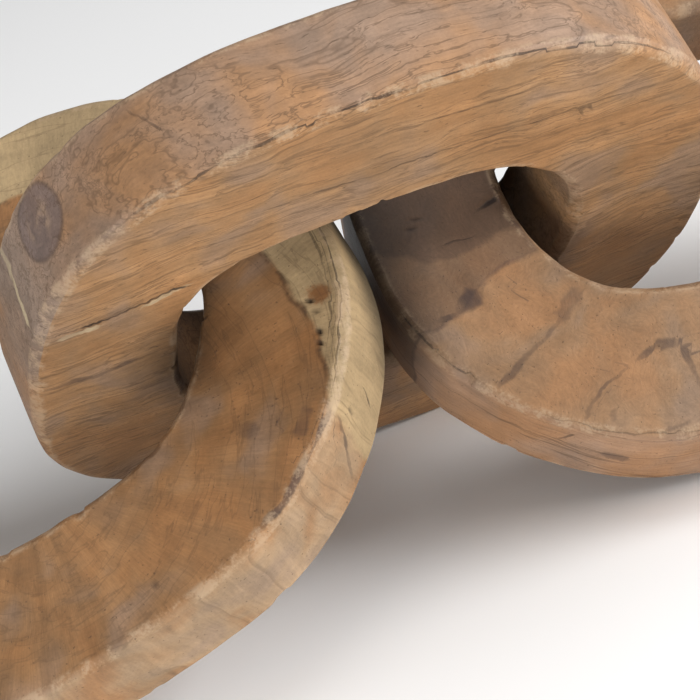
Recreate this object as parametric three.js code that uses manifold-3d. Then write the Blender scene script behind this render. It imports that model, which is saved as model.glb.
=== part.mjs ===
// Three links of a carved wooden chain, lying interlocked as a chain does on a table.
// Every link is one closed ring of teak. Lengths are millimetres, Z is up.
import * as THREE from 'three';
import { mergeVertices } from 'three/addons/utils/BufferGeometryUtils.js';
import Module from 'manifold-3d';

const wasm = await Module();
wasm.setup();

// Shared by all links
const OUTER_STEPS = 112;
const HOLE_STEPS = 84;
const SLOWEST_WAVE = 3;
const EDGE = 2.6;
const EDGE_STEPS = 2;
const FLAT_DEPTH = 0.8;
const GROUND_SIZE = 900;
const GROUND_DEPTH = 60;

// One entry for each carved link. half_long and half_wide are the outline's half sizes,
// fullness is how far the oval swells towards a rectangle, flare widens the end on plus X,
// and swell is how the carver's line wanders: the cosine and sine parts of three slow waves.
// The hole has the same five plus the place of its centre.
// place and turn set the link down: turn is yaw, pitch and roll in degrees.
const LINKS = {
  left_link: {
    half_long: 111.9,
    half_wide: 90.6,
    fullness: 2.66,
    flare: 0.002,
    swell: [0.004, 0.002, 0.004, 0.004, 0.012, -0.002],
    hole_long: 70.7,
    hole_wide: 44.2,
    hole_fullness: 2.47,
    hole_flare: 0.004,
    hole_swell: [0.002, 0.006, 0.007, 0.011, 0.021, 0.012],
    hole_x: 0.2,
    hole_y: -0.3,
    thick: 33.2,
    place: [-116.2, 10.1, 70.1],
    turn: [-9.79, -16.25, 28.21],
    colour: 0x8a6238,
  },
  centre_link: {
    half_long: 110.1,
    half_wide: 92.5,
    fullness: 2.58,
    flare: 0.037,
    swell: [0.003, -0.003, 0.01, 0.005, 0.01, -0.004],
    hole_long: 64.3,
    hole_wide: 45.1,
    hole_fullness: 2.48,
    hole_flare: 0.015,
    hole_swell: [-0.015, 0.005, -0.014, 0.005, 0.018, 0.003],
    hole_x: -1.7,
    hole_y: -1.2,
    thick: 34.6,
    place: [-1, -9.4, 91.1],
    turn: [0, 7.04, 123.21],
    colour: 0xa2764a,
  },
  right_link: {
    half_long: 113.5,
    half_wide: 92.3,
    fullness: 2.69,
    flare: 0.008,
    swell: [0.001, 0.004, 0.004, -0.003, -0.01, -0.005],
    hole_long: 67.7,
    hole_wide: 44.7,
    hole_fullness: 2.55,
    hole_flare: 0.007,
    hole_swell: [-0.002, -0.003, -0.006, -0.012, -0.003, 0.007],
    hole_x: -0.2,
    hole_y: -0.6,
    thick: 33.4,
    place: [112.4, -15.6, 69.7],
    turn: [-6.8, 3.82, 36.42],
    colour: 0x96703f,
  },
};

// A full oval between an ellipse and a rectangle, a little wider at one end and a little uneven.
function oval(halfLong, halfWide, fullness, flare, swell, x0, y0, steps) {
  const points = [];
  for (let i = 0; i < steps; i += 1) {
    const a = (2 * Math.PI * i) / steps;
    const c = Math.cos(a);
    const s = Math.sin(a);
    const x = Math.sign(c) * Math.abs(c) ** (2 / fullness);
    const y = Math.sign(s) * Math.abs(s) ** (2 / fullness);
    let reach = 1;
    for (let k = 0; k < 3; k += 1) {
      const turn = (k + SLOWEST_WAVE) * a;
      reach += swell[2 * k] * Math.cos(turn) + swell[2 * k + 1] * Math.sin(turn);
    }
    points.push(
      new THREE.Vector2(x0 + halfLong * x * reach, y0 + halfWide * y * (1 + flare * x) * reach),
    );
  }
  return points;
}

// The ring lying flat about its own centre, with every long edge eased.
function ring(link) {
  const shape = new THREE.Shape(
    oval(
      link.half_long,
      link.half_wide,
      link.fullness,
      link.flare,
      link.swell,
      0,
      0,
      OUTER_STEPS,
    ),
  );
  const hole = oval(
    link.hole_long,
    link.hole_wide,
    link.hole_fullness,
    link.hole_flare,
    link.hole_swell,
    link.hole_x,
    link.hole_y,
    HOLE_STEPS,
  );
  shape.holes.push(new THREE.Path(hole));
  const depth = link.thick - 2 * EDGE;
  const geometry = new THREE.ExtrudeGeometry(shape, {
    depth,
    bevelEnabled: true,
    bevelThickness: EDGE,
    bevelSize: EDGE,
    bevelOffset: -EDGE,
    bevelSegments: EDGE_STEPS,
  });
  geometry.translate(0, 0, -depth / 2);
  return geometry;
}

function laidDown(geometry, link) {
  const [yaw, pitch, roll] = link.turn.map(THREE.MathUtils.degToRad);
  const turn = new THREE.Matrix4().makeRotationFromEuler(new THREE.Euler(roll, pitch, yaw, 'ZYX'));
  geometry.applyMatrix4(turn);
  geometry.translate(...link.place);
  return geometry;
}

function toSolid(geometry) {
  const bare = new THREE.BufferGeometry();
  bare.setAttribute('position', geometry.getAttribute('position'));
  if (geometry.index) bare.setIndex(geometry.index);
  const merged = mergeVertices(bare, 1e-4);
  return new wasm.Manifold(
    new wasm.Mesh({
      numProp: 3,
      vertProperties: new Float32Array(merged.getAttribute('position').array),
      triVerts: new Uint32Array(merged.index.array),
    }),
  );
}

function toGeometry(solid) {
  const mesh = solid.getMesh();
  const geometry = new THREE.BufferGeometry();
  const positions = new Float32Array(mesh.numVert * 3);
  for (let i = 0; i < mesh.numVert; i += 1) {
    for (let k = 0; k < 3; k += 1) {
      positions[3 * i + k] = mesh.vertProperties[mesh.numProp * i + k];
    }
  }
  geometry.setAttribute('position', new THREE.BufferAttribute(positions, 3));
  geometry.setIndex(new THREE.BufferAttribute(new Uint32Array(mesh.triVerts), 1));
  geometry.computeVertexNormals();
  return geometry;
}

// Everything below the table top, used to give each link its small resting flat.
const ground = new THREE.BoxGeometry(GROUND_SIZE, GROUND_SIZE, GROUND_DEPTH);
ground.translate(0, 0, -GROUND_DEPTH / 2);
const groundSolid = toSolid(ground);

const group = new THREE.Group();
group.name = 'wooden_chain';

for (const [name, link] of Object.entries(LINKS)) {
  const geometry = laidDown(ring(link), link);
  geometry.computeBoundingBox();
  // Each link is let down until its lowest edge is one flat's depth under the table top.
  geometry.translate(0, 0, -geometry.boundingBox.min.z - FLAT_DEPTH);
  const solid = toSolid(geometry).subtract(groundSolid);
  const material = new THREE.MeshStandardMaterial({ color: link.colour, roughness: 0.72, metalness: 0 });
  const mesh = new THREE.Mesh(toGeometry(solid), material);
  mesh.name = name;
  group.add(mesh);
}

// The chain is centred over the origin.
const box = new THREE.Box3().setFromObject(group);
for (const mesh of group.children) {
  mesh.geometry.translate(-(box.min.x + box.max.x) / 2, -(box.min.y + box.max.y) / 2, 0);
}

export default group;
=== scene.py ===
"""Looks for the carved wooden chain: three interlocked teak rings, seen close up on a pale table."""
import math

import bpy
import numpy as np
from mathutils import Matrix, Vector
from mathutils.kdtree import KDTree


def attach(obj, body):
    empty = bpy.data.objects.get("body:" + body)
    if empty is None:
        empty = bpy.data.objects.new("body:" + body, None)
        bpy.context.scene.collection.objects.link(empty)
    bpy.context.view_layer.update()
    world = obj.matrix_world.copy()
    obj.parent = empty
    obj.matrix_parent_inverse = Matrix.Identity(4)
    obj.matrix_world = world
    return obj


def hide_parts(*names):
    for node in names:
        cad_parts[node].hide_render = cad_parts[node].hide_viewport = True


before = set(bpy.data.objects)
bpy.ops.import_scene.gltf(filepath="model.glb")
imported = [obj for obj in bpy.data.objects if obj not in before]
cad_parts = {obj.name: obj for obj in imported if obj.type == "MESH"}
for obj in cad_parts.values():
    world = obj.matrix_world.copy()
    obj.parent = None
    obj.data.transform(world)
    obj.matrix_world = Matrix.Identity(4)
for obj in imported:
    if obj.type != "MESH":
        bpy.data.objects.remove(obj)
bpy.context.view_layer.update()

MM = 0.001
AROUND = 856
FACE_STEPS = 30
WALL_STEPS = 20
EDGE_STEPS = 4
EDGE = 2.6

# The same outlines and places as the CAD rings, in millimetres and degrees. The marks are drawn in
# each ring's own frame: crack, blot and pale are (half width, strength, line), pits are (x, y, z, radius).
# A point with no third number lies on the ring's upper face.
LINKS = {
    "left_link": {
        "outer": (111.9, 90.6, 2.66, 0.002, (0.004, 0.002, 0.004, 0.004, 0.012, -0.002), 0.0, 0.0),
        "hole": (70.7, 44.2, 2.47, 0.004, (0.002, 0.006, 0.007, 0.011, 0.021, 0.012), 0.2, -0.3),
        "thick": 33.2,
        "place": (-116.667, 10.02, 68.271),
        "turn": (-9.79, -16.25, 28.21),
        "draft": 0.0,
        "seed": 3,
        "crack": [
            (0.5, 0.8, [(96.5, -55.9, 0.2), (95.8, -56.8, -3.6), (94.7, -58.1, -7.0)]),
        ],
        "blot": [
            (1.5, 0.95, [(88.3, -64.5, 15.5), (78.7, -72.0), (64.0, -81.2), (51.9, -85.6)]),
            (1.1, 0.7, [(88.1, -65.3, 12.9), (86.2, -67.2, 6.1), (83.6, -69.6, -0.1), (79.3, -73.2, -9.6)]),
            (3.2, 0.4, [(61.5, -54.5), (66.5, -58.5)]),
            (2.6, 0.5, [(82.0, -60.0), (75.0, -67.0)]),
        ],
        "pale": [],
        "pits": [
            (97.7, -31.4, 16.6, 1.2), (97.6, -36.1, 16.6, 1.0), (95.7, -41.7, 16.6, 1.3),
            (94.7, -45.6, 16.6, 1.0), (21.5, -80.0, 16.6, 1.3), (91.0, -62.3, 4.2, 1.1),
        ],
    },
    "centre_link": {
        "outer": (110.1, 92.5, 2.58, 0.037, (0.003, -0.003, 0.01, 0.005, 0.01, -0.004), 0.0, 0.0),
        "hole": (64.3, 45.1, 2.48, 0.015, (-0.015, 0.005, -0.014, 0.005, 0.018, 0.003), -1.7, -1.2),
        "thick": 34.6,
        "place": (-1.467, -9.48, 89.281),
        "turn": (0.0, 7.04, 123.21),
        "draft": 2.2,
        "seed": 11,
        "crack": [
            (0.55, 0.85, [(-104.0, 30.0), (-90.9, 29.9), (-79.8, 31.8), (-66.7, 34.1), (-59.9, 33.9)]),
            (0.5, 0.6, [(-69.1, 78.7, -12.6), (-65.7, 80.4, -6.6), (-63.5, 81.4, -1.4)]),
            (0.4, 0.4, [(-3.0, 77.4), (24.0, 76.4), (45.0, 77.6)]),
            (0.35, 0.55, [(-45.0, 58.6), (10.0, 60.3), (74.0, 61.8)]),
            (0.5, 0.4, [(52.0, 63.2), (55.7, 57.1)]),
        ],
        "blot": [
            (1.5, 0.75, [(-107.0, 3.6), (-98.5, 3.3), (-89.5, 2.3), (-77.4, 4.4)]),
        ],
        "pale": [
            (1.3, 0.75, [(-101.0, 28.0), (-88.0, 28.2)]),
            (0.9, 0.6, [(-76.0, 31.0), (-62.0, 35.0)]),
            (2.2, 0.95, [(-105.3, 30.8, -16.5), (-105.8, 32.2, -8.9), (-106.1, 30.7, -3.0)]),
            (1.2, 0.95, [(-105.9, 31.8, -5.3), (-106.4, 29.7, 2.6), (-106.4, 29.6, 11.8)]),
        ],
        "pits": [],
    },
    "right_link": {
        "outer": (113.5, 92.3, 2.69, 0.008, (0.001, 0.004, 0.004, -0.003, -0.01, -0.005), 0.0, 0.0),
        "hole": (67.7, 44.7, 2.55, 0.007, (-0.002, -0.003, -0.006, -0.012, -0.003, 0.007), -0.2, -0.6),
        "thick": 33.4,
        "place": (111.933, -15.68, 67.795),
        "turn": (-6.8, 3.82, 36.42),
        "draft": 0.0,
        "seed": 23,
        "crack": [
            (0.45, 0.8, [(-91.9, -8.0), (-86.8, -8.1), (-81.9, -8.0)]),
            (0.8, 1.0, [(-78.8, 0.0), (-74.8, 1.2), (-70.9, 2.0)]),
            (0.6, 0.6, [(-80.5, -74.5, 5.0), (-77.3, -76.9, 10.7)]),
        ],
        "blot": [
            (4.0, 0.95, [(-88.5, -26.6), (-95.0, -28.6)]),
            (1.5, 0.85, [(-97.0, -30.5), (-103.0, -31.8)]),
            (3.2, 0.8, [(-59.1, -35.4), (-63.5, -38.1), (-68.8, -43.2)]),
            (1.3, 0.6, [(-68.8, -43.2), (-76.8, -47.3), (-84.7, -51.3), (-95.0, -57.7)]),
            (1.3, 0.75, [(-53.4, -63.3), (-45.7, -60.3), (-38.7, -61.1), (-38.4, -64.7), (-39.0, -77.4)]),
            (2.6, 0.7, [(-45.7, -60.6), (-39.5, -61.0)]),
            (0.7, 0.55, [(-53.4, -63.3), (-64.9, -68.1), (-72.2, -72.8), (-74.7, -76.7)]),
            (2.0, 0.6, [(-64.1, -75.8), (-66.9, -78.1)]),
            (1.5, 0.6, [(-53.8, -86.1), (-45.8, -85.7)]),
            (2.2, 0.55, [(-70.5, -81.3, 3.0), (-62.7, -85.2, -0.6)]),
        ],
        "pale": [],
        "pits": [(-100.2, 0.8, 16.7, 0.9), (-96.8, 2.9, 16.7, 0.8)],
        "dark": [
            (-64.0, 12.0), (-69.0, 2.0), (-69.5, -7.7), (-67.2, -18.1), (-77.6, -21.5),
            (-86.1, -24.5), (-95.0, -31.0), (-103.0, -34.0), (-124.0, -36.0), (-124.0, 22.0),
        ],
        "darker": [
            (-60.0, 12.0), (-68.0, -9.0), (-77.3, -12.6), (-89.0, -13.8), (-96.6, -13.6),
            (-104.1, -7.2), (-124.0, -2.0), (-124.0, 22.0),
        ],
    },
}


def turn_matrix(turn):
    yaw, pitch, roll = (math.radians(v) for v in turn)
    return np.array(
        Matrix.Rotation(yaw, 3, "Z") @ Matrix.Rotation(pitch, 3, "Y") @ Matrix.Rotation(roll, 3, "X")
    )


def oval(shape, a):
    """The carver's oval at the angles a: between an ellipse and a rectangle, and a little uneven."""
    long, wide, fullness, flare, swell, x0, y0 = shape
    c, s = np.cos(a), np.sin(a)
    x = np.sign(c) * np.abs(c) ** (2 / fullness)
    y = np.sign(s) * np.abs(s) ** (2 / fullness)
    reach = 1 + sum(
        swell[2 * k] * np.cos((k + 3) * a) + swell[2 * k + 1] * np.sin((k + 3) * a) for k in range(3)
    )
    return np.column_stack([x0 + long * x * reach, y0 + wide * y * (1 + flare * x) * reach])


def outward(points):
    t = np.roll(points, -1, 0) - np.roll(points, 1, 0)
    t /= np.linalg.norm(t, axis=1)[:, None]
    return np.column_stack([t[:, 1], -t[:, 0]])


def even_angles(outer, hole, count):
    """Angles that step evenly round the ring, halfway between its two outlines."""
    a = np.linspace(0, 2 * np.pi, 6001)
    total = np.zeros(len(a))
    for shape in (outer, hole):
        step = np.linalg.norm(np.diff(oval(shape, a), axis=0), axis=1)
        run = np.concatenate([[0], np.cumsum(step)])
        total += run / run[-1]
    return np.interp(np.arange(count) / count * 2, total, a)


def lattice(i, j, k, seed):
    n = (i * 73856093) ^ (j * 19349663) ^ (k * 83492791) ^ (seed * 2654435761)
    n = n & 0xFFFFFFFF
    n = (n ^ (n >> 13)) * 1274126177 & 0xFFFFFFFF
    n = (n ^ (n >> 16)) * 2246822519 & 0xFFFFFFFF
    return ((n ^ (n >> 15)) & 0xFFFFFF) / float(0xFFFFFF)


def noise(points, size, seed):
    """Smooth noise from -1 to 1 whose lumps are about size millimetres across."""
    p = np.asarray(points, float) / size + 1000.0
    cell = np.floor(p).astype(np.int64)
    f = p - cell
    f = f * f * f * (f * (f * 6 - 15) + 10)
    total = np.zeros(len(p))
    for dx in (0, 1):
        for dy in (0, 1):
            for dz in (0, 1):
                weight = (
                    (f[:, 0] if dx else 1 - f[:, 0])
                    * (f[:, 1] if dy else 1 - f[:, 1])
                    * (f[:, 2] if dz else 1 - f[:, 2])
                )
                total += weight * lattice(cell[:, 0] + dx, cell[:, 1] + dy, cell[:, 2] + dz, seed)
    return total * 2 - 1


def ease(x, low, high):
    """A smooth step from 0 at low to 1 at high; low may be the larger of the two."""
    t = np.clip((np.asarray(x, float) - low) / (np.asarray(high, float) - low), 0, 1)
    return t * t * (3 - 2 * t)


def crowded(steps):
    """From 0 to 1 in steps that are finer at both ends, so that edges stay crisp."""
    t = np.linspace(0, 1, steps + 1)[:-1]
    return t - 0.93 * np.sin(2 * np.pi * t) / (2 * np.pi)


def near_line(points, normals, line, reach=12.0):
    """Distance to a drawn line, signed by the side of it, and how far along it from 0 to 1."""
    line = np.array(line, float)
    signed, along = np.full(len(points), 4 * reach), np.zeros(len(points))
    inside = np.all((points > line.min(0) - reach) & (points < line.max(0) + reach), 1)
    picked = np.where(inside)[0]
    p, n = points[picked], normals[picked]
    best = np.full(len(picked), 4 * reach)
    steps = np.diff(line, axis=0)
    run = np.concatenate([[0], np.cumsum(np.linalg.norm(steps, axis=1))])
    for k, step in enumerate(steps):
        t = np.clip((p - line[k]) @ step / (step @ step), 0, 1)
        off = p - line[k] - t[:, None] * step
        far = np.linalg.norm(off, axis=1)
        hand = np.sign((np.cross(step, off) * n).sum(1) + 1e-12)
        closer = far < np.abs(best)
        best = np.where(closer, far * hand, best)
        along[picked] = np.where(closer, (run[k] + t * (run[k + 1] - run[k])) / run[-1], along[picked])
    signed[picked] = best
    return signed, along


def inside_of(points, corners):
    """How far inside a closed outline each point lies, seen from above; outside is negative."""
    corners = np.array(corners, float)
    p = points[:, :2]
    best, crossings = np.full(len(p), 1e9), np.zeros(len(p), int)
    for a, b in zip(corners, np.roll(corners, -1, 0)):
        t = np.clip((p - a) @ (b - a) / ((b - a) @ (b - a)), 0, 1)
        best = np.minimum(best, np.linalg.norm(p - a - t[:, None] * (b - a), axis=1))
        spans = (a[1] > p[:, 1]) != (b[1] > p[:, 1])
        x = a[0] + (b[0] - a[0]) * (p[:, 1] - a[1]) / (b[1] - a[1] if b[1] != a[1] else 1e-9)
        crossings += spans & (p[:, 0] < x)
    return np.where(crossings % 2 == 1, best, -best)


def along_edge(link, inset, drop, keep):
    """A line that follows the outer front edge of a ring, for the part where keep(x, y) holds."""
    a = np.radians(np.arange(0, 361, 3.0))
    ring = oval(link["outer"], a)
    ring = ring - outward(ring) * inset
    ring = ring[[bool(keep(x, y)) for x, y in ring]]
    if len(ring) > 2:
        gap = np.linalg.norm(np.roll(ring, -1, 0) - ring, axis=1)
        ring = np.roll(ring, -(int(np.argmax(gap)) + 1), 0)
    return [(x, y, link["thick"] / 2 - drop) for x, y in ring]


def link_zones(name, link, points, rim, side, run_at):
    """Two large zones of other wood on each ring, as millimetres inside their borders."""
    x, y, z = points.T
    wander = 1.6 * noise(points, 13, link["seed"] + 90) + 0.7 * noise(points, 4, link["seed"] + 91)
    if name == "left_link":
        # Sapwood outside a growth ring about the pith, and one rusty spot in it.
        sap = np.hypot(x, y + 26) - 95.5 + wander
        rust = 4.2 - np.linalg.norm(points - (101.3, -31.8, 16.6), axis=1) + wander
        return sap, rust
    if name == "centre_link":
        # A grey oval scar on the rim of the left end, in a greyer end-grain zone.
        middle = int(np.argmin(np.hypot(x + 96.5, y - 52.5) + 40 * (rim < 0.9)))
        along = run_at - run_at[middle]
        scar = 9.5 * (1 - np.hypot(along / 10.0, (z + 4.4) / 10.5)) + 0.5 * wander
        scar = np.where((rim > 0.2) & (np.abs(along) < 60), scar, -30)
        end = np.minimum(np.minimum(y - 8, 50 - y), (-x - 96) * 1.5) + wander
        return scar, np.where(rim > 0, end, -30 + 25 * (side > 0.9) * 0)
    dark = inside_of(points, link["dark"]) + wander
    darker = inside_of(points, link["darker"]) + wander
    return dark, darker


def mark_fields(link, points, normals, seed):
    """Cracks, stains, pale torn fibres and pits: what each point of the ring's skin carries."""
    half = link["thick"] / 2
    wobble = np.stack(
        [0.8 * noise(points, 7, seed + k) + 0.35 * noise(points, 2.6, seed + k + 5) for k in range(3)], 1
    )
    p = points + wobble
    fields = {}
    for kind in ("crack", "blot", "pale"):
        field = np.zeros((len(points), 3))
        field[:, 0] = 40.0
        nearest = np.full(len(points), 1e9)
        for number, (width, strength, line) in enumerate(link[kind]):
            line = [q if len(q) == 3 else (*q, half) for q in line]
            signed, along = near_line(p, normals, line)
            taper = ease(along, -0.02, 0.12) * ease(1 - along, -0.02, 0.12)
            patchy = 0.5 + 0.5 * ease(noise(points, 6.0, seed + 60 + number), -0.5, 0.3)
            near = np.abs(signed) / width
            use = near < nearest
            nearest = np.where(use, near, nearest)
            reach = ease(near, 9.0, 4.0)
            field[use, 0] = signed[use]
            field[use, 1] = (width * (0.35 + 0.65 * taper * patchy) * reach)[use]
            field[use, 2] = (strength * (0.15 + 0.85 * taper) * patchy * reach)[use]
        fields[kind] = field
    pit = np.zeros(len(points))
    for x, y, z, size in link["pits"]:
        far = np.linalg.norm(p - np.array([x, y, z]), axis=1)
        pit = np.maximum(pit, ease(far, size * 1.25, size * 0.45))
    fields["pit"] = pit
    return fields


def ring_mesh(name, link):
    """One carved ring as a closed mesh, with the attributes its wood is painted from."""
    seed = link["seed"]
    angles = even_angles(link["outer"], link["hole"], AROUND)
    outer, hole = oval(link["outer"], angles), oval(link["hole"], angles)
    n_out, n_in = outward(outer), -outward(hole)
    half = link["thick"] / 2

    around = np.column_stack([outer, np.zeros(AROUND)])

    def easing(k):
        """How wide each of the four eased edges is, all the way round."""
        slow = noise(around, 38, seed + 10 * k)
        fast = noise(around, 9, seed + 10 * k + 1)
        nick = ease(noise(around, 6.5, seed + 10 * k + 2), 0.62, 0.95)
        return EDGE * (1.0 + 0.28 * slow + 0.13 * fast) + 1.1 * nick

    e_out_front, e_out_back, e_in_front, e_in_back = (easing(k) for k in range(4))

    # Each row of the section: position, outward direction, and what kind of surface it is.
    rows = []

    def add(xy, z, nxy, nz, edge, face, rim, bore):
        z = np.broadcast_to(np.asarray(z, float), (AROUND,))
        nz = np.broadcast_to(np.asarray(nz, float), (AROUND,))
        position = np.column_stack([xy, z])
        direction = np.column_stack([nxy, nz])
        direction = direction / np.maximum(np.linalg.norm(direction, axis=1), 1e-9)[:, None]
        rows.append((position, direction, edge, face, rim, bore))

    def face(sign, e_from, e_to, p_from, n_from, p_to, n_to, to_hole):
        a = p_from - n_from * e_from[:, None]
        b = p_to - n_to * e_to[:, None]
        for t in crowded(FACE_STEPS):
            near = min(t, 1 - t)
            add(a + (b - a) * t, sign * half, np.zeros((AROUND, 2)), sign,
                math.exp(-near * 45 / 1.6), sign, 0.0, t if to_hole else 1 - t)

    def bevel(sign, e, p, n, down, rim):
        """The eased edge, from the face to the wall if down, or back up."""
        for i in range(EDGE_STEPS):
            t = i / EDGE_STEPS
            t = t if down else 1 - t
            q = t * np.pi / 2
            flat_in, flat_up = 1 - t, t
            round_in, round_up = 1 - np.sin(q), 1 - np.cos(q)
            inward = 0.55 * flat_in + 0.45 * round_in
            lower = 0.55 * flat_up + 0.45 * round_up
            add(p - n * (e * inward)[:, None], sign * (half - e * lower),
                n * math.sin(q) + 1e-9, sign * math.cos(q), 1.0, sign * (1 - t), rim * t,
                1.0 if rim < 0 else 0.0)

    def wall(sign, e_from, e_to, p, n, rim):
        top, bottom = half - e_from, half - e_to
        for t in crowded(WALL_STEPS):
            z = sign * (top * (1 - t) - bottom * t)
            near = min(t, 1 - t)
            add(p, z, n, 0.0, math.exp(-near * 30 / 1.6), 0.0, rim, 1.0 if rim < 0 else 0.0)

    face(1, e_out_front, e_in_front, outer, n_out, hole, n_in, True)
    bevel(1, e_in_front, hole, n_in, True, -1.0)
    wall(1, e_in_front, e_in_back, hole, n_in, -1.0)
    bevel(-1, e_in_back, hole, n_in, False, -1.0)
    face(-1, e_in_back, e_out_back, hole, n_in, outer, n_out, False)
    bevel(-1, e_out_back, outer, n_out, True, 1.0)
    wall(-1, e_out_back, e_out_front, outer, n_out, 1.0)
    bevel(1, e_out_front, outer, n_out, False, 1.0)

    count = len(rows)
    local = np.stack([r[0] for r in rows], 1).reshape(-1, 3)
    normal = np.stack([r[1] for r in rows], 1).reshape(-1, 3)
    edge = np.tile([r[2] for r in rows], AROUND)
    side = np.tile([r[3] for r in rows], AROUND)
    rim = np.tile([r[4] for r in rows], AROUND)
    bore = np.tile([r[5] for r in rows], AROUND)

    # The hole was cut from the upper face and closes in a little on its way through.
    into_hole = np.repeat(np.column_stack([n_in, np.zeros(AROUND)]), count, 0)
    local = local + into_hole * (link["draft"] * bore * ease(local[:, 2], half, -half))[:, None]

    turn, place = turn_matrix(link["turn"]), np.array(link["place"])
    height = (local @ turn.T + place)[:, 2]
    keep = ease(height, 2.0, 14.0)

    # Hand work: slow waves of the rasp, never thicker than the block the ring was cut from.
    hand = 0.34 * noise(local, 34, seed + 50) + 0.13 * noise(local, 11, seed + 51) - 0.05
    fields = mark_fields(link, local, normal, seed + 70)
    signed, width, strength = fields["crack"].T
    groove = 0.55 * strength * ease(np.abs(signed), width + 0.9, 0.2)
    signed, width, strength = fields["pale"].T
    torn = strength * ease(np.abs(signed), width + 0.8, width * 0.3) * noise(local, 2.2, seed + 52)
    hand = hand - groove - 0.9 * fields["pit"] + 0.3 * torn
    local = local + normal * (hand * keep)[:, None]

    outer_run = np.concatenate([[0], np.cumsum(np.linalg.norm(np.diff(outer, axis=0), axis=1))])
    run_at = np.repeat(outer_run, count)

    # Distance round the ring and across its section, for wood that follows the ring.
    stacked = local.reshape(AROUND, count, 3)
    across = np.concatenate(
        [np.zeros((AROUND, 1)), np.cumsum(np.linalg.norm(np.diff(stacked, axis=1), axis=2), axis=1)], 1
    )
    middle = (outer + hole) / 2
    run = np.linalg.norm(np.roll(middle, -1, 0) - middle, axis=1).sum()
    theta = 2 * np.pi * np.arange(AROUND) / AROUND
    radius = run / (2 * np.pi)
    round_at = np.stack(
        [
            np.repeat((radius * np.cos(theta))[:, None], count, 1),
            np.repeat((radius * np.sin(theta))[:, None], count, 1),
            across,
        ],
        2,
    ).reshape(-1, 3)

    world = local @ turn.T + place
    world[:, 2] = np.maximum(world[:, 2], 0.0)

    i = np.arange(AROUND)[:, None]
    j = np.arange(count)[None, :]
    i2, j2 = (i + 1) % AROUND, (j + 1) % count
    quads = np.stack(
        np.broadcast_arrays(i * count + j, i * count + j2, i2 * count + j2, i2 * count + j), 2
    ).reshape(-1, 4)

    mesh = bpy.data.meshes.new(name + "_wood")
    mesh.vertices.add(len(world))
    mesh.vertices.foreach_set("co", (world * MM).astype(np.float32).ravel())
    mesh.loops.add(quads.size)
    mesh.loops.foreach_set("vertex_index", quads.astype(np.int32).ravel())
    mesh.polygons.add(len(quads))
    mesh.polygons.foreach_set("loop_start", np.arange(0, quads.size, 4, dtype=np.int32))
    mesh.polygons.foreach_set("use_smooth", np.ones(len(quads), bool))
    mesh.update(calc_edges=True)
    mesh.validate()

    def store(key, values, kind="FLOAT"):
        layer = mesh.attributes.new(key, kind, "POINT")
        field = "vector" if kind == "FLOAT_VECTOR" else "value"
        layer.data.foreach_set(field, np.asarray(values, np.float32).ravel())

    store("wood_at", local, "FLOAT_VECTOR")
    store("round_at", round_at, "FLOAT_VECTOR")
    store("edge", edge)
    store("side", side)
    store("rim", rim)
    for kind in ("crack", "blot", "pale"):
        store(kind, fields[kind], "FLOAT_VECTOR")
    store("pit", fields["pit"])
    zone_a, zone_b = link_zones(name, link, local, rim, side, run_at)
    store("zone_a", zone_a)
    store("zone_b", zone_b)
    return mesh, world


def plain(name, colour, rough):
    material = bpy.data.materials.new(name)
    material.use_nodes = True
    shader = material.node_tree.nodes["Principled BSDF"]
    shader.inputs["Base Color"].default_value = (*colour, 1)
    shader.inputs["Roughness"].default_value = rough
    return material


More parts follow.
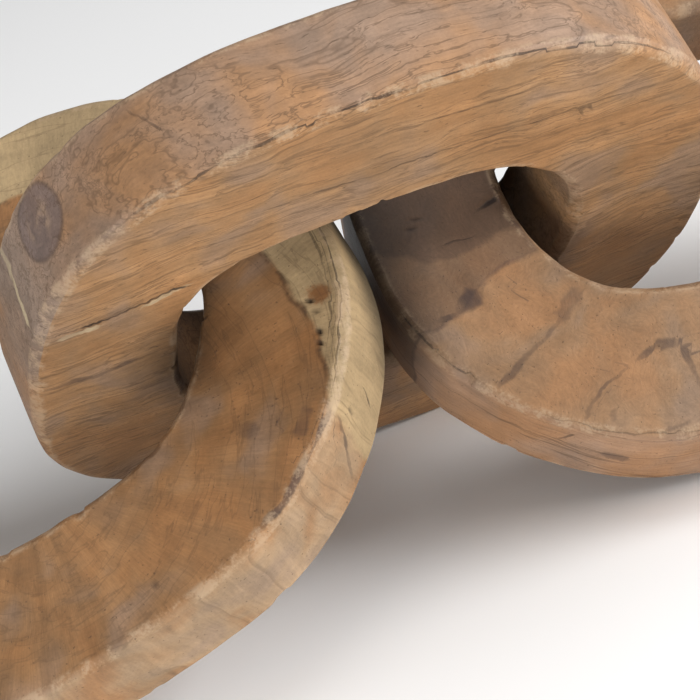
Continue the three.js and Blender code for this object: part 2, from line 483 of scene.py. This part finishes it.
class Graph:
    """Short names for the shader nodes one wood is built from."""

    def __init__(self, material):
        self.tree = material.node_tree
        self.shader = self.tree.nodes["Principled BSDF"]

    def put(self, kind, inputs, **settings):
        node = self.tree.nodes.new(kind)
        for key, value in settings.items():
            setattr(node, key, value)
        for key, value in inputs.items():
            if isinstance(value, bpy.types.NodeSocket):
                self.tree.links.new(value, node.inputs[key])
            else:
                node.inputs[key].default_value = value
        return node

    def stored(self, name):
        return self.put("ShaderNodeAttribute", {}, attribute_name=name, attribute_type="GEOMETRY")

    def amount(self, name):
        return self.stored(name).outputs["Fac"]

    def vector(self, name):
        return self.stored(name).outputs["Vector"]

    def parts(self, vector):
        node = self.put("ShaderNodeSeparateXYZ", {0: vector})
        return node.outputs[0], node.outputs[1], node.outputs[2]

    def join(self, x, y, z):
        return self.put("ShaderNodeCombineXYZ", {0: x, 1: y, 2: z}).outputs[0]

    def calc(self, what, a, b=0.0, c=0.0):
        return self.put("ShaderNodeMath", {0: a, 1: b, 2: c}, operation=what).outputs[0]

    def plus(self, a, b):
        return self.calc("ADD", a, b)

    def times(self, a, b):
        return self.calc("MULTIPLY", a, b)

    def sized(self, at, x, y, z):
        """Coordinates in which one unit is x, y and z millimetres."""
        scale = (1.0 / x, 1.0 / y, 1.0 / z)
        return self.put("ShaderNodeVectorMath", {0: at, 1: scale}, operation="MULTIPLY").outputs[0]

    def moved(self, at, by, much):
        """Coordinates pushed about by a coloured noise, so nothing runs ruler straight."""
        centred = self.put("ShaderNodeVectorMath", {0: by, 1: (-0.5, -0.5, -0.5)}, operation="ADD").outputs[0]
        push = self.put("ShaderNodeVectorMath", {0: centred, "Scale": much}, operation="SCALE").outputs[0]
        return self.put("ShaderNodeVectorMath", {0: at, 1: push}, operation="ADD").outputs[0]

    def noise(self, at, detail=2.0, rough=0.5, out="Fac"):
        node = self.put(
            "ShaderNodeTexNoise", {"Vector": at, "Scale": 1.0, "Detail": detail, "Roughness": rough}
        )
        return node.outputs[out]

    def step(self, x, low, high, first=0.0, last=1.0):
        """Smoothly from first at low to last at high."""
        node = self.put(
            "ShaderNodeMapRange",
            {"Value": x, "From Min": low, "From Max": high, "To Min": first, "To Max": last},
            interpolation_type="SMOOTHSTEP",
        )
        return node.outputs[0]

    def swing(self, x, much):
        """A factor about 1 that follows a noise, much up and down."""
        return self.calc("MULTIPLY_ADD", x, 2.0 * much, 1.0 - much)

    def vein(self, x, width):
        """1 along the middle contour of a noise, falling to 0 within width: a thin line."""
        away = self.calc("ABSOLUTE", self.plus(x, -0.5))
        return self.step(away, width, 0.0)

    def blend(self, amount, a, b):
        node = self.put("ShaderNodeMix", {0: amount, 6: a, 7: b}, data_type="RGBA")
        return node.outputs[2]

    def toned(self, colour, tone):
        return self.put("ShaderNodeVectorMath", {0: colour, "Scale": tone}, operation="SCALE").outputs[0]


def colour(r, g, b):
    return (r, g, b, 1.0)


def wood(name, node, link):
    """Oiled teak: growth layers, fibres, pores, rays, stains, scars, cracks and rubbed pale edges that also serve
    as painted highlights, with painted shade where the rings crowd each other.
    """
    material = bpy.data.materials.new(name)
    material.use_nodes = True
    g = Graph(material)
    at = g.vector("wood_at")
    rim, side, edge = g.amount("rim"), g.amount("side"), g.amount("edge")
    # near carries the painted shade where other rings crowd this one.
    near, pit = g.amount("near"), g.amount("pit")
    zone_a, zone_b = g.amount("zone_a"), g.amount("zone_b")
    shift = tuple(31.7 * link["seed"] + k for k in (0.0, 7.3, 19.1))
    base = g.put("ShaderNodeVectorMath", {0: at, 1: shift}, operation="ADD").outputs[0]

    slow = g.noise(g.sized(base, 46, 46, 46), 2.0, 0.5, "Color")
    quick = g.noise(g.sized(base, 7, 7, 7), 2.0, 0.5, "Color")
    bent = g.moved(g.moved(base, slow, 16.0), quick, 1.6)
    x, y, z = g.parts(bent)
    outer_wall = g.step(rim, 0.15, 0.85)
    inner_wall = g.step(rim, -0.15, -0.85)

    blotch = g.noise(g.sized(bent, 30, 30, 30), 3.0, 0.55)
    mottle = g.noise(g.sized(bent, 6.5, 6.5, 6.5), 3.0, 0.6)
    speck = g.noise(g.sized(base, 0.85, 0.85, 0.85), 2.0, 0.6)
    hue = g.noise(g.sized(g.moved(base, slow, 40.0), 22, 22, 22), 2.0, 0.5)

    if node == "centre_link":
        # A plank: the grain runs the length of the ring, layers cross the face as long bands.
        grain = g.put(
            "ShaderNodeVectorRotate", {"Vector": bent, "Axis": (0, 0, 1), "Angle": math.radians(-4.0)}
        ).outputs[0]
        layers = g.noise(g.sized(grain, 240, 7.5, 11), 3.0, 0.6)
        thin = g.noise(g.sized(grain, 150, 2.3, 4.0), 3.0, 0.6)
        fibre = g.noise(g.sized(grain, 15, 0.75, 0.75), 3.0, 0.65)
        long_fibre = g.noise(g.sized(grain, 46, 1.5, 1.8), 2.0, 0.55)
        pores = g.step(g.noise(g.sized(grain, 6.5, 0.5, 0.5), 1.0, 0.5), 0.66, 0.78)
        lines = g.times(g.vein(thin, 0.03), g.step(layers, 0.42, 0.62))
        lines = g.calc("MAXIMUM", lines, g.times(g.vein(layers, 0.022), 0.8))
        wood_a, wood_b = colour(0.315, 0.178, 0.084), colour(0.275, 0.168, 0.104)
        warm = colour(0.33, 0.165, 0.066)
        tone = g.times(g.swing(layers, 0.42), g.swing(long_fibre, 0.22))
        tone = g.times(tone, g.swing(fibre, 0.26))
        figure = g.calc("MULTIPLY_ADD", fibre, 0.5, g.times(long_fibre, 0.4))
    elif node == "left_link":
        # A slice of a log: rays and growth arcs about the pith on the faces, side grain on the walls.
        from_pith = g.put("ShaderNodeVectorMath", {0: at, 1: (-2.0, 28.0, 0.0)}, operation="ADD").outputs[0]
        from_pith = g.moved(from_pith, slow, 9.0)
        px, py, pz = g.parts(from_pith)
        flat = g.join(px, py, 0.0)
        reach = g.put("ShaderNodeVectorMath", {0: flat}, operation="LENGTH").outputs["Value"]
        way = g.put("ShaderNodeVectorMath", {0: flat}, operation="NORMALIZE").outputs[0]
        wx, wy, _ = g.parts(way)
        rays_at = g.join(g.times(wx, 105.0), g.times(wy, 105.0), g.plus(g.times(reach, 0.19), pz))
        fibre = g.noise(rays_at, 3.0, 0.65)
        arcs_at = g.join(g.times(wx, 1.5), g.times(wy, 1.5), g.times(reach, 0.15))
        layers = g.noise(arcs_at, 3.0, 0.6)
        broad_at = g.join(g.times(wx, 5.5), g.times(wy, 5.5), g.times(reach, 0.02))
        long_fibre = g.noise(broad_at, 2.0, 0.55)
        standing = g.noise(g.sized(bent, 1.3, 1.3, 20), 3.0, 0.6)
        wall_any = g.calc("MAXIMUM", outer_wall, inner_wall)
        fibre = g.put("ShaderNodeMix", {0: wall_any, 2: fibre, 3: standing}).outputs[0]
        pores = g.step(g.noise(g.sized(base, 1.0, 1.0, 1.0), 1.0, 0.5), 0.69, 0.78)
        lines = g.times(g.vein(layers, 0.02), 0.5)
        wood_a, wood_b = colour(0.245, 0.128, 0.054), colour(0.34, 0.225, 0.128)
        warm = colour(0.27, 0.125, 0.045)
        tone = g.times(g.swing(layers, 0.3), g.swing(long_fibre, 0.42))
        tone = g.times(tone, g.swing(fibre, 0.3))
        figure = g.calc("MULTIPLY_ADD", fibre, 0.6, g.times(speck, 0.3))
    else:
        # Burr-like end grain on the faces, lines along the wall on the outside.
        round_at = g.moved(g.vector("round_at"), slow, 10.0)
        layers = g.noise(g.sized(bent, 22, 34, 22), 3.0, 0.6)
        swirl = g.noise(g.sized(bent, 17, 17, 17), 2.0, 0.5, "Color")
        curled = g.moved(base, swirl, 26.0)
        fibre = g.noise(g.sized(curled, 0.9, 3.2, 1.2), 3.0, 0.65)
        tangent = g.noise(g.sized(round_at, 26, 26, 1.1), 3.0, 0.6)
        fibre = g.put("ShaderNodeMix", {0: outer_wall, 2: fibre, 3: tangent}).outputs[0]
        long_fibre = g.noise(g.sized(round_at, 60, 60, 4.0), 2.0, 0.55)
        pores = g.step(g.noise(g.sized(base, 0.9, 0.9, 0.9), 1.0, 0.5), 0.68, 0.77)
        lines = g.times(g.vein(g.noise(g.sized(round_at, 120, 120, 5.0), 2.0, 0.5), 0.02), outer_wall)
        wood_a, wood_b = colour(0.262, 0.155, 0.082), colour(0.30, 0.178, 0.105)
        warm = colour(0.30, 0.15, 0.065)
        tone = g.times(g.swing(layers, 0.34), g.swing(fibre, 0.3))
        tone = g.times(tone, g.swing(long_fibre, 0.15))
        figure = g.calc("MULTIPLY_ADD", fibre, 0.6, g.times(speck, 0.4))

    paint = g.blend(outer_wall, wood_a, wood_b)
    paint = g.blend(g.step(hue, 0.42, 0.68, 0.0, 0.75), paint, warm)
    greyed = g.blend(0.6, paint, colour(0.215, 0.155, 0.118))
    paint = g.blend(g.step(hue, 0.50, 0.30, 0.0, 0.8), paint, greyed)

    # The large zones of other wood.
    if node == "left_link":
        sap = g.step(g.plus(zone_a, g.times(mottle, 2.0)), 0.2, 2.0)
        paint = g.blend(sap, paint, colour(0.36, 0.255, 0.135))
        border = g.step(g.calc("ABSOLUTE", g.plus(zone_a, 0.3)), 1.5, 0.2)
        border = g.times(g.times(border, g.step(mottle, 0.40, 0.60)), g.calc("SUBTRACT", 1.0, outer_wall))
        paint = g.blend(g.times(border, 0.8), paint, colour(0.07, 0.035, 0.016))
        rust = g.step(g.plus(zone_b, g.times(speck, 3.0)), 0.8, 3.4)
        paint = g.blend(g.times(rust, 0.85), paint, colour(0.20, 0.075, 0.02))
    elif node == "centre_link":
        grey = g.step(zone_b, -4.0, 6.0)
        paint = g.blend(g.times(grey, 0.75), paint, colour(0.215, 0.160, 0.125))
        scar = g.step(zone_a, -0.4, 1.0)
        paint = g.blend(g.times(scar, 0.85), paint, colour(0.15, 0.108, 0.095))
        heart = g.times(g.step(zone_a, 3.0, 8.0), g.step(mottle, 0.40, 0.62))
        paint = g.blend(g.times(heart, 0.8), paint, colour(0.35, 0.235, 0.15))
        hem = g.step(g.calc("ABSOLUTE", zone_a), 1.1, 0.1)
        paint = g.blend(g.times(hem, 0.55), paint, colour(0.06, 0.042, 0.038))
    else:
        dark = g.step(g.plus(zone_a, g.times(g.plus(mottle, -0.5), 3.0)), -0.3, 0.8)
        paint = g.blend(g.times(dark, 0.62), paint, colour(0.11, 0.066, 0.042))
        darker = g.step(g.plus(zone_b, g.times(g.plus(mottle, -0.5), 4.0)), -0.8, 1.6)
        paint = g.blend(g.times(darker, 0.55), paint, colour(0.055, 0.033, 0.024))
        hem = g.step(g.calc("ABSOLUTE", g.plus(zone_a, g.times(g.plus(mottle, -0.5), 3.0))), 1.3, 0.1)
        paint = g.blend(g.times(g.times(hem, g.step(blotch, 0.35, 0.55)), 0.55), paint, colour(0.05, 0.03, 0.028))

    tone = g.times(tone, g.swing(blotch, 0.34))
    tone = g.times(tone, g.swing(mottle, 0.20))
    tone = g.times(tone, g.swing(speck, 0.16))
    paint = g.toned(paint, tone)

    # Dark growth lines and open pores.
    paint = g.blend(g.times(lines, 0.55), paint, colour(0.075, 0.040, 0.020))
    paint = g.blend(g.times(pores, 0.5), paint, colour(0.06, 0.032, 0.016))

    # Stains, pale torn fibres, cracks and pits drawn on the ring.
    fine = g.plus(mottle, -0.5)
    signed, width, strength = g.parts(g.vector("blot"))
    away = g.calc("ABSOLUTE", g.plus(signed, g.times(fine, 2.4)))
    stain = g.times(g.step(g.calc("DIVIDE", away, g.plus(width, 0.01)), 1.25, 0.55), strength)
    paint = g.blend(stain, paint, g.toned(paint, 0.32))
    paint = g.blend(g.times(stain, 0.35), paint, colour(0.085, 0.055, 0.055))

    signed, width, strength = g.parts(g.vector("pale"))
    away = g.calc("ABSOLUTE", g.plus(signed, g.times(fine, 3.0)))
    torn = g.times(g.step(g.calc("DIVIDE", away, g.plus(width, 0.01)), 1.2, 0.6), strength)
    paint = g.blend(torn, paint, colour(0.46, 0.37, 0.235))

    signed, width, strength = g.parts(g.vector("crack"))
    away = g.calc("ABSOLUTE", g.plus(signed, g.times(fine, 1.0)))
    crack = g.times(g.step(g.calc("DIVIDE", away, g.plus(width, 0.01)), 1.3, 0.5), strength)
    paint = g.blend(crack, paint, colour(0.022, 0.012, 0.008))
    paint = g.blend(pit, paint, colour(0.015, 0.009, 0.006))

    # Handled edges are rubbed pale in places, a pale band that also stands in for the highlight they catch;
    # painted shade darkens the wood where the rings crowd each other.
    # Pale rubbed wear along the eased edges, which also paints the highlight those edges catch.
    rubbed_and_highlit = g.times(g.step(edge, 0.35, 0.95), g.step(g.plus(mottle, g.times(speck, 0.4)), 0.62, 0.86))
    paint = g.blend(g.times(rubbed_and_highlit, 0.55), paint, colour(0.42, 0.30, 0.19))
    # Painted shade where the rings crowd each other: the wood is darkened towards a fifth of its colour.
    paint = g.blend(near, paint, g.toned(paint, 0.22))

    g.tree.links.new(paint, g.shader.inputs["Base Color"])
    g.tree.links.new(g.calc("MULTIPLY_ADD", mottle, 0.22, 0.5), g.shader.inputs["Roughness"])
    g.shader.inputs["Specular IOR Level"].default_value = 0.35

    # Relief too fine for the mesh, in millimetres.
    relief = g.calc("MULTIPLY_ADD", figure, 0.16, g.times(mottle, 0.25))
    relief = g.plus(relief, g.times(pores, -0.12))
    relief = g.plus(relief, g.times(lines, -0.06))
    relief = g.plus(relief, g.times(crack, -0.4))
    relief = g.plus(relief, g.times(torn, g.times(fibre, 0.5)))
    bump = g.put("ShaderNodeBump", {"Strength": 0.75, "Distance": MM, "Height": relief})
    g.tree.links.new(bump.outputs[0], g.shader.inputs["Normal"])
    return material


SLOTS = {"left_link": "left_wood", "centre_link": "centre_wood", "right_link": "right_wood"}

# The lines that follow a ring's outer edge: the broken crease of the centre ring, the two dark
# lines beside the left ring's edge and the raised fibres at the right ring's edge.
centre, left, right_ring = LINKS["centre_link"], LINKS["left_link"], LINKS["right_link"]
centre["crack"].append((0.6, 0.75, along_edge(centre, 0.5, 0.9, lambda x, y: y > 60 and abs(x) < 88)))
left["crack"].append((0.45, 0.6, along_edge(left, 2.2, 0.0, lambda x, y: x > 80 and -62 < y < 30)))
left["crack"].append((0.35, 0.45, along_edge(left, 5.5, 0.0, lambda x, y: x > 88 and -50 < y < 10)))
right_ring["crack"].append((0.5, 0.6, along_edge(right_ring, 1.6, 0.0, lambda x, y: x < -96 and -56 < y < -22)))
right_ring["crack"].append((0.4, 0.5, along_edge(right_ring, 1.2, 0.0, lambda x, y: -88 < x < -20 and y < -60)))

skins = {node: ring_mesh(node, link) for node, link in LINKS.items()}
trees = {}
for node, (mesh, skin) in skins.items():
    sample = skin[::7]
    tree = KDTree(len(sample))
    for k, point in enumerate(sample):
        tree.insert(point, k)
    tree.balance()
    trees[node] = tree

for node, link in LINKS.items():
    mesh, skin = skins[node]
    gap = np.full(len(skin), 60.0)
    for other, tree in trees.items():
        if other != node:
            gap = np.minimum(gap, [tree.find(point)[2] for point in skin])
    # near: how strongly painted shade darkens the wood, full within 4 mm of another ring and gone by 24 mm.
    near = 0.95 * ease(gap, 24.0, 4.0)
    mesh.attributes.new("near", "FLOAT", "POINT").data.foreach_set("value", near.astype(np.float32))
    piece = bpy.data.objects.new(node + "_carved", mesh)
    bpy.context.scene.collection.objects.link(piece)
    mesh.materials.append(wood(SLOTS[node], node, link))
    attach(piece, "root")
    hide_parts(node)

# Pale table top.
floor_mesh = bpy.data.meshes.new("table_top")
reach = 6.0
floor_mesh.from_pydata(
    [(-reach, -reach, 0), (reach, -reach, 0), (reach, reach, 0), (-reach, reach, 0)], [], [(0, 1, 2, 3)]
)
floor = bpy.data.objects.new("table_top", floor_mesh)
bpy.context.scene.collection.objects.link(floor)
floor_mesh.materials.append(plain("pale_table", (0.92, 0.92, 0.92), 0.9))

# Soft studio light.
world = bpy.data.worlds.new("studio")
world.use_nodes = True
world.node_tree.nodes["Background"].inputs["Color"].default_value = (1.0, 1.0, 1.0, 1)
world.node_tree.nodes["Background"].inputs["Strength"].default_value = 0.3
bpy.context.scene.world = world


def softbox(name, place, aim, size, power):
    data = bpy.data.lights.new(name, "AREA")
    data.shape = "DISK"
    data.size = size
    data.energy = power
    light = bpy.data.objects.new(name, data)
    light.location = place
    light.rotation_euler = (Vector(aim) - Vector(place)).to_track_quat("-Z", "Y").to_euler()
    bpy.context.scene.collection.objects.link(light)


softbox("key_softbox", (1.3, -0.7, 0.6), (0.0, 0.0, 0.08), 1.0, 32.0)
softbox("fill_softbox", (-1.1, -1.0, 0.15), (0.0, 0.0, 0.08), 0.8, 18.0)
softbox("top_softbox", (0.0, 0.1, 1.5), (0.0, 0.0, 0.08), 1.0, 7.0)

# The camera of the photograph: in front, a little left, looking down about thirty degrees.
camera_data = bpy.data.cameras.new("camera")
camera_data.sensor_width = 36.0
camera_data.lens = 102.857
camera = bpy.data.objects.new("camera", camera_data)
right = Vector((0.8873408, -0.3745790, -0.2689180))
up = Vector((0.4116452, 0.3806924, 0.8280227))
back = Vector((-0.2077849, -0.8454371, 0.4919975))
camera.matrix_world = Matrix(
    (
        (right.x, up.x, back.x, -0.14348),
        (right.y, up.y, back.y, -0.53077),
        (right.z, up.z, back.z, 0.35978),
        (0, 0, 0, 1),
    )
)
bpy.context.scene.collection.objects.link(camera)
bpy.context.scene.camera = camera
bpy.context.scene.view_settings.view_transform = "Standard"
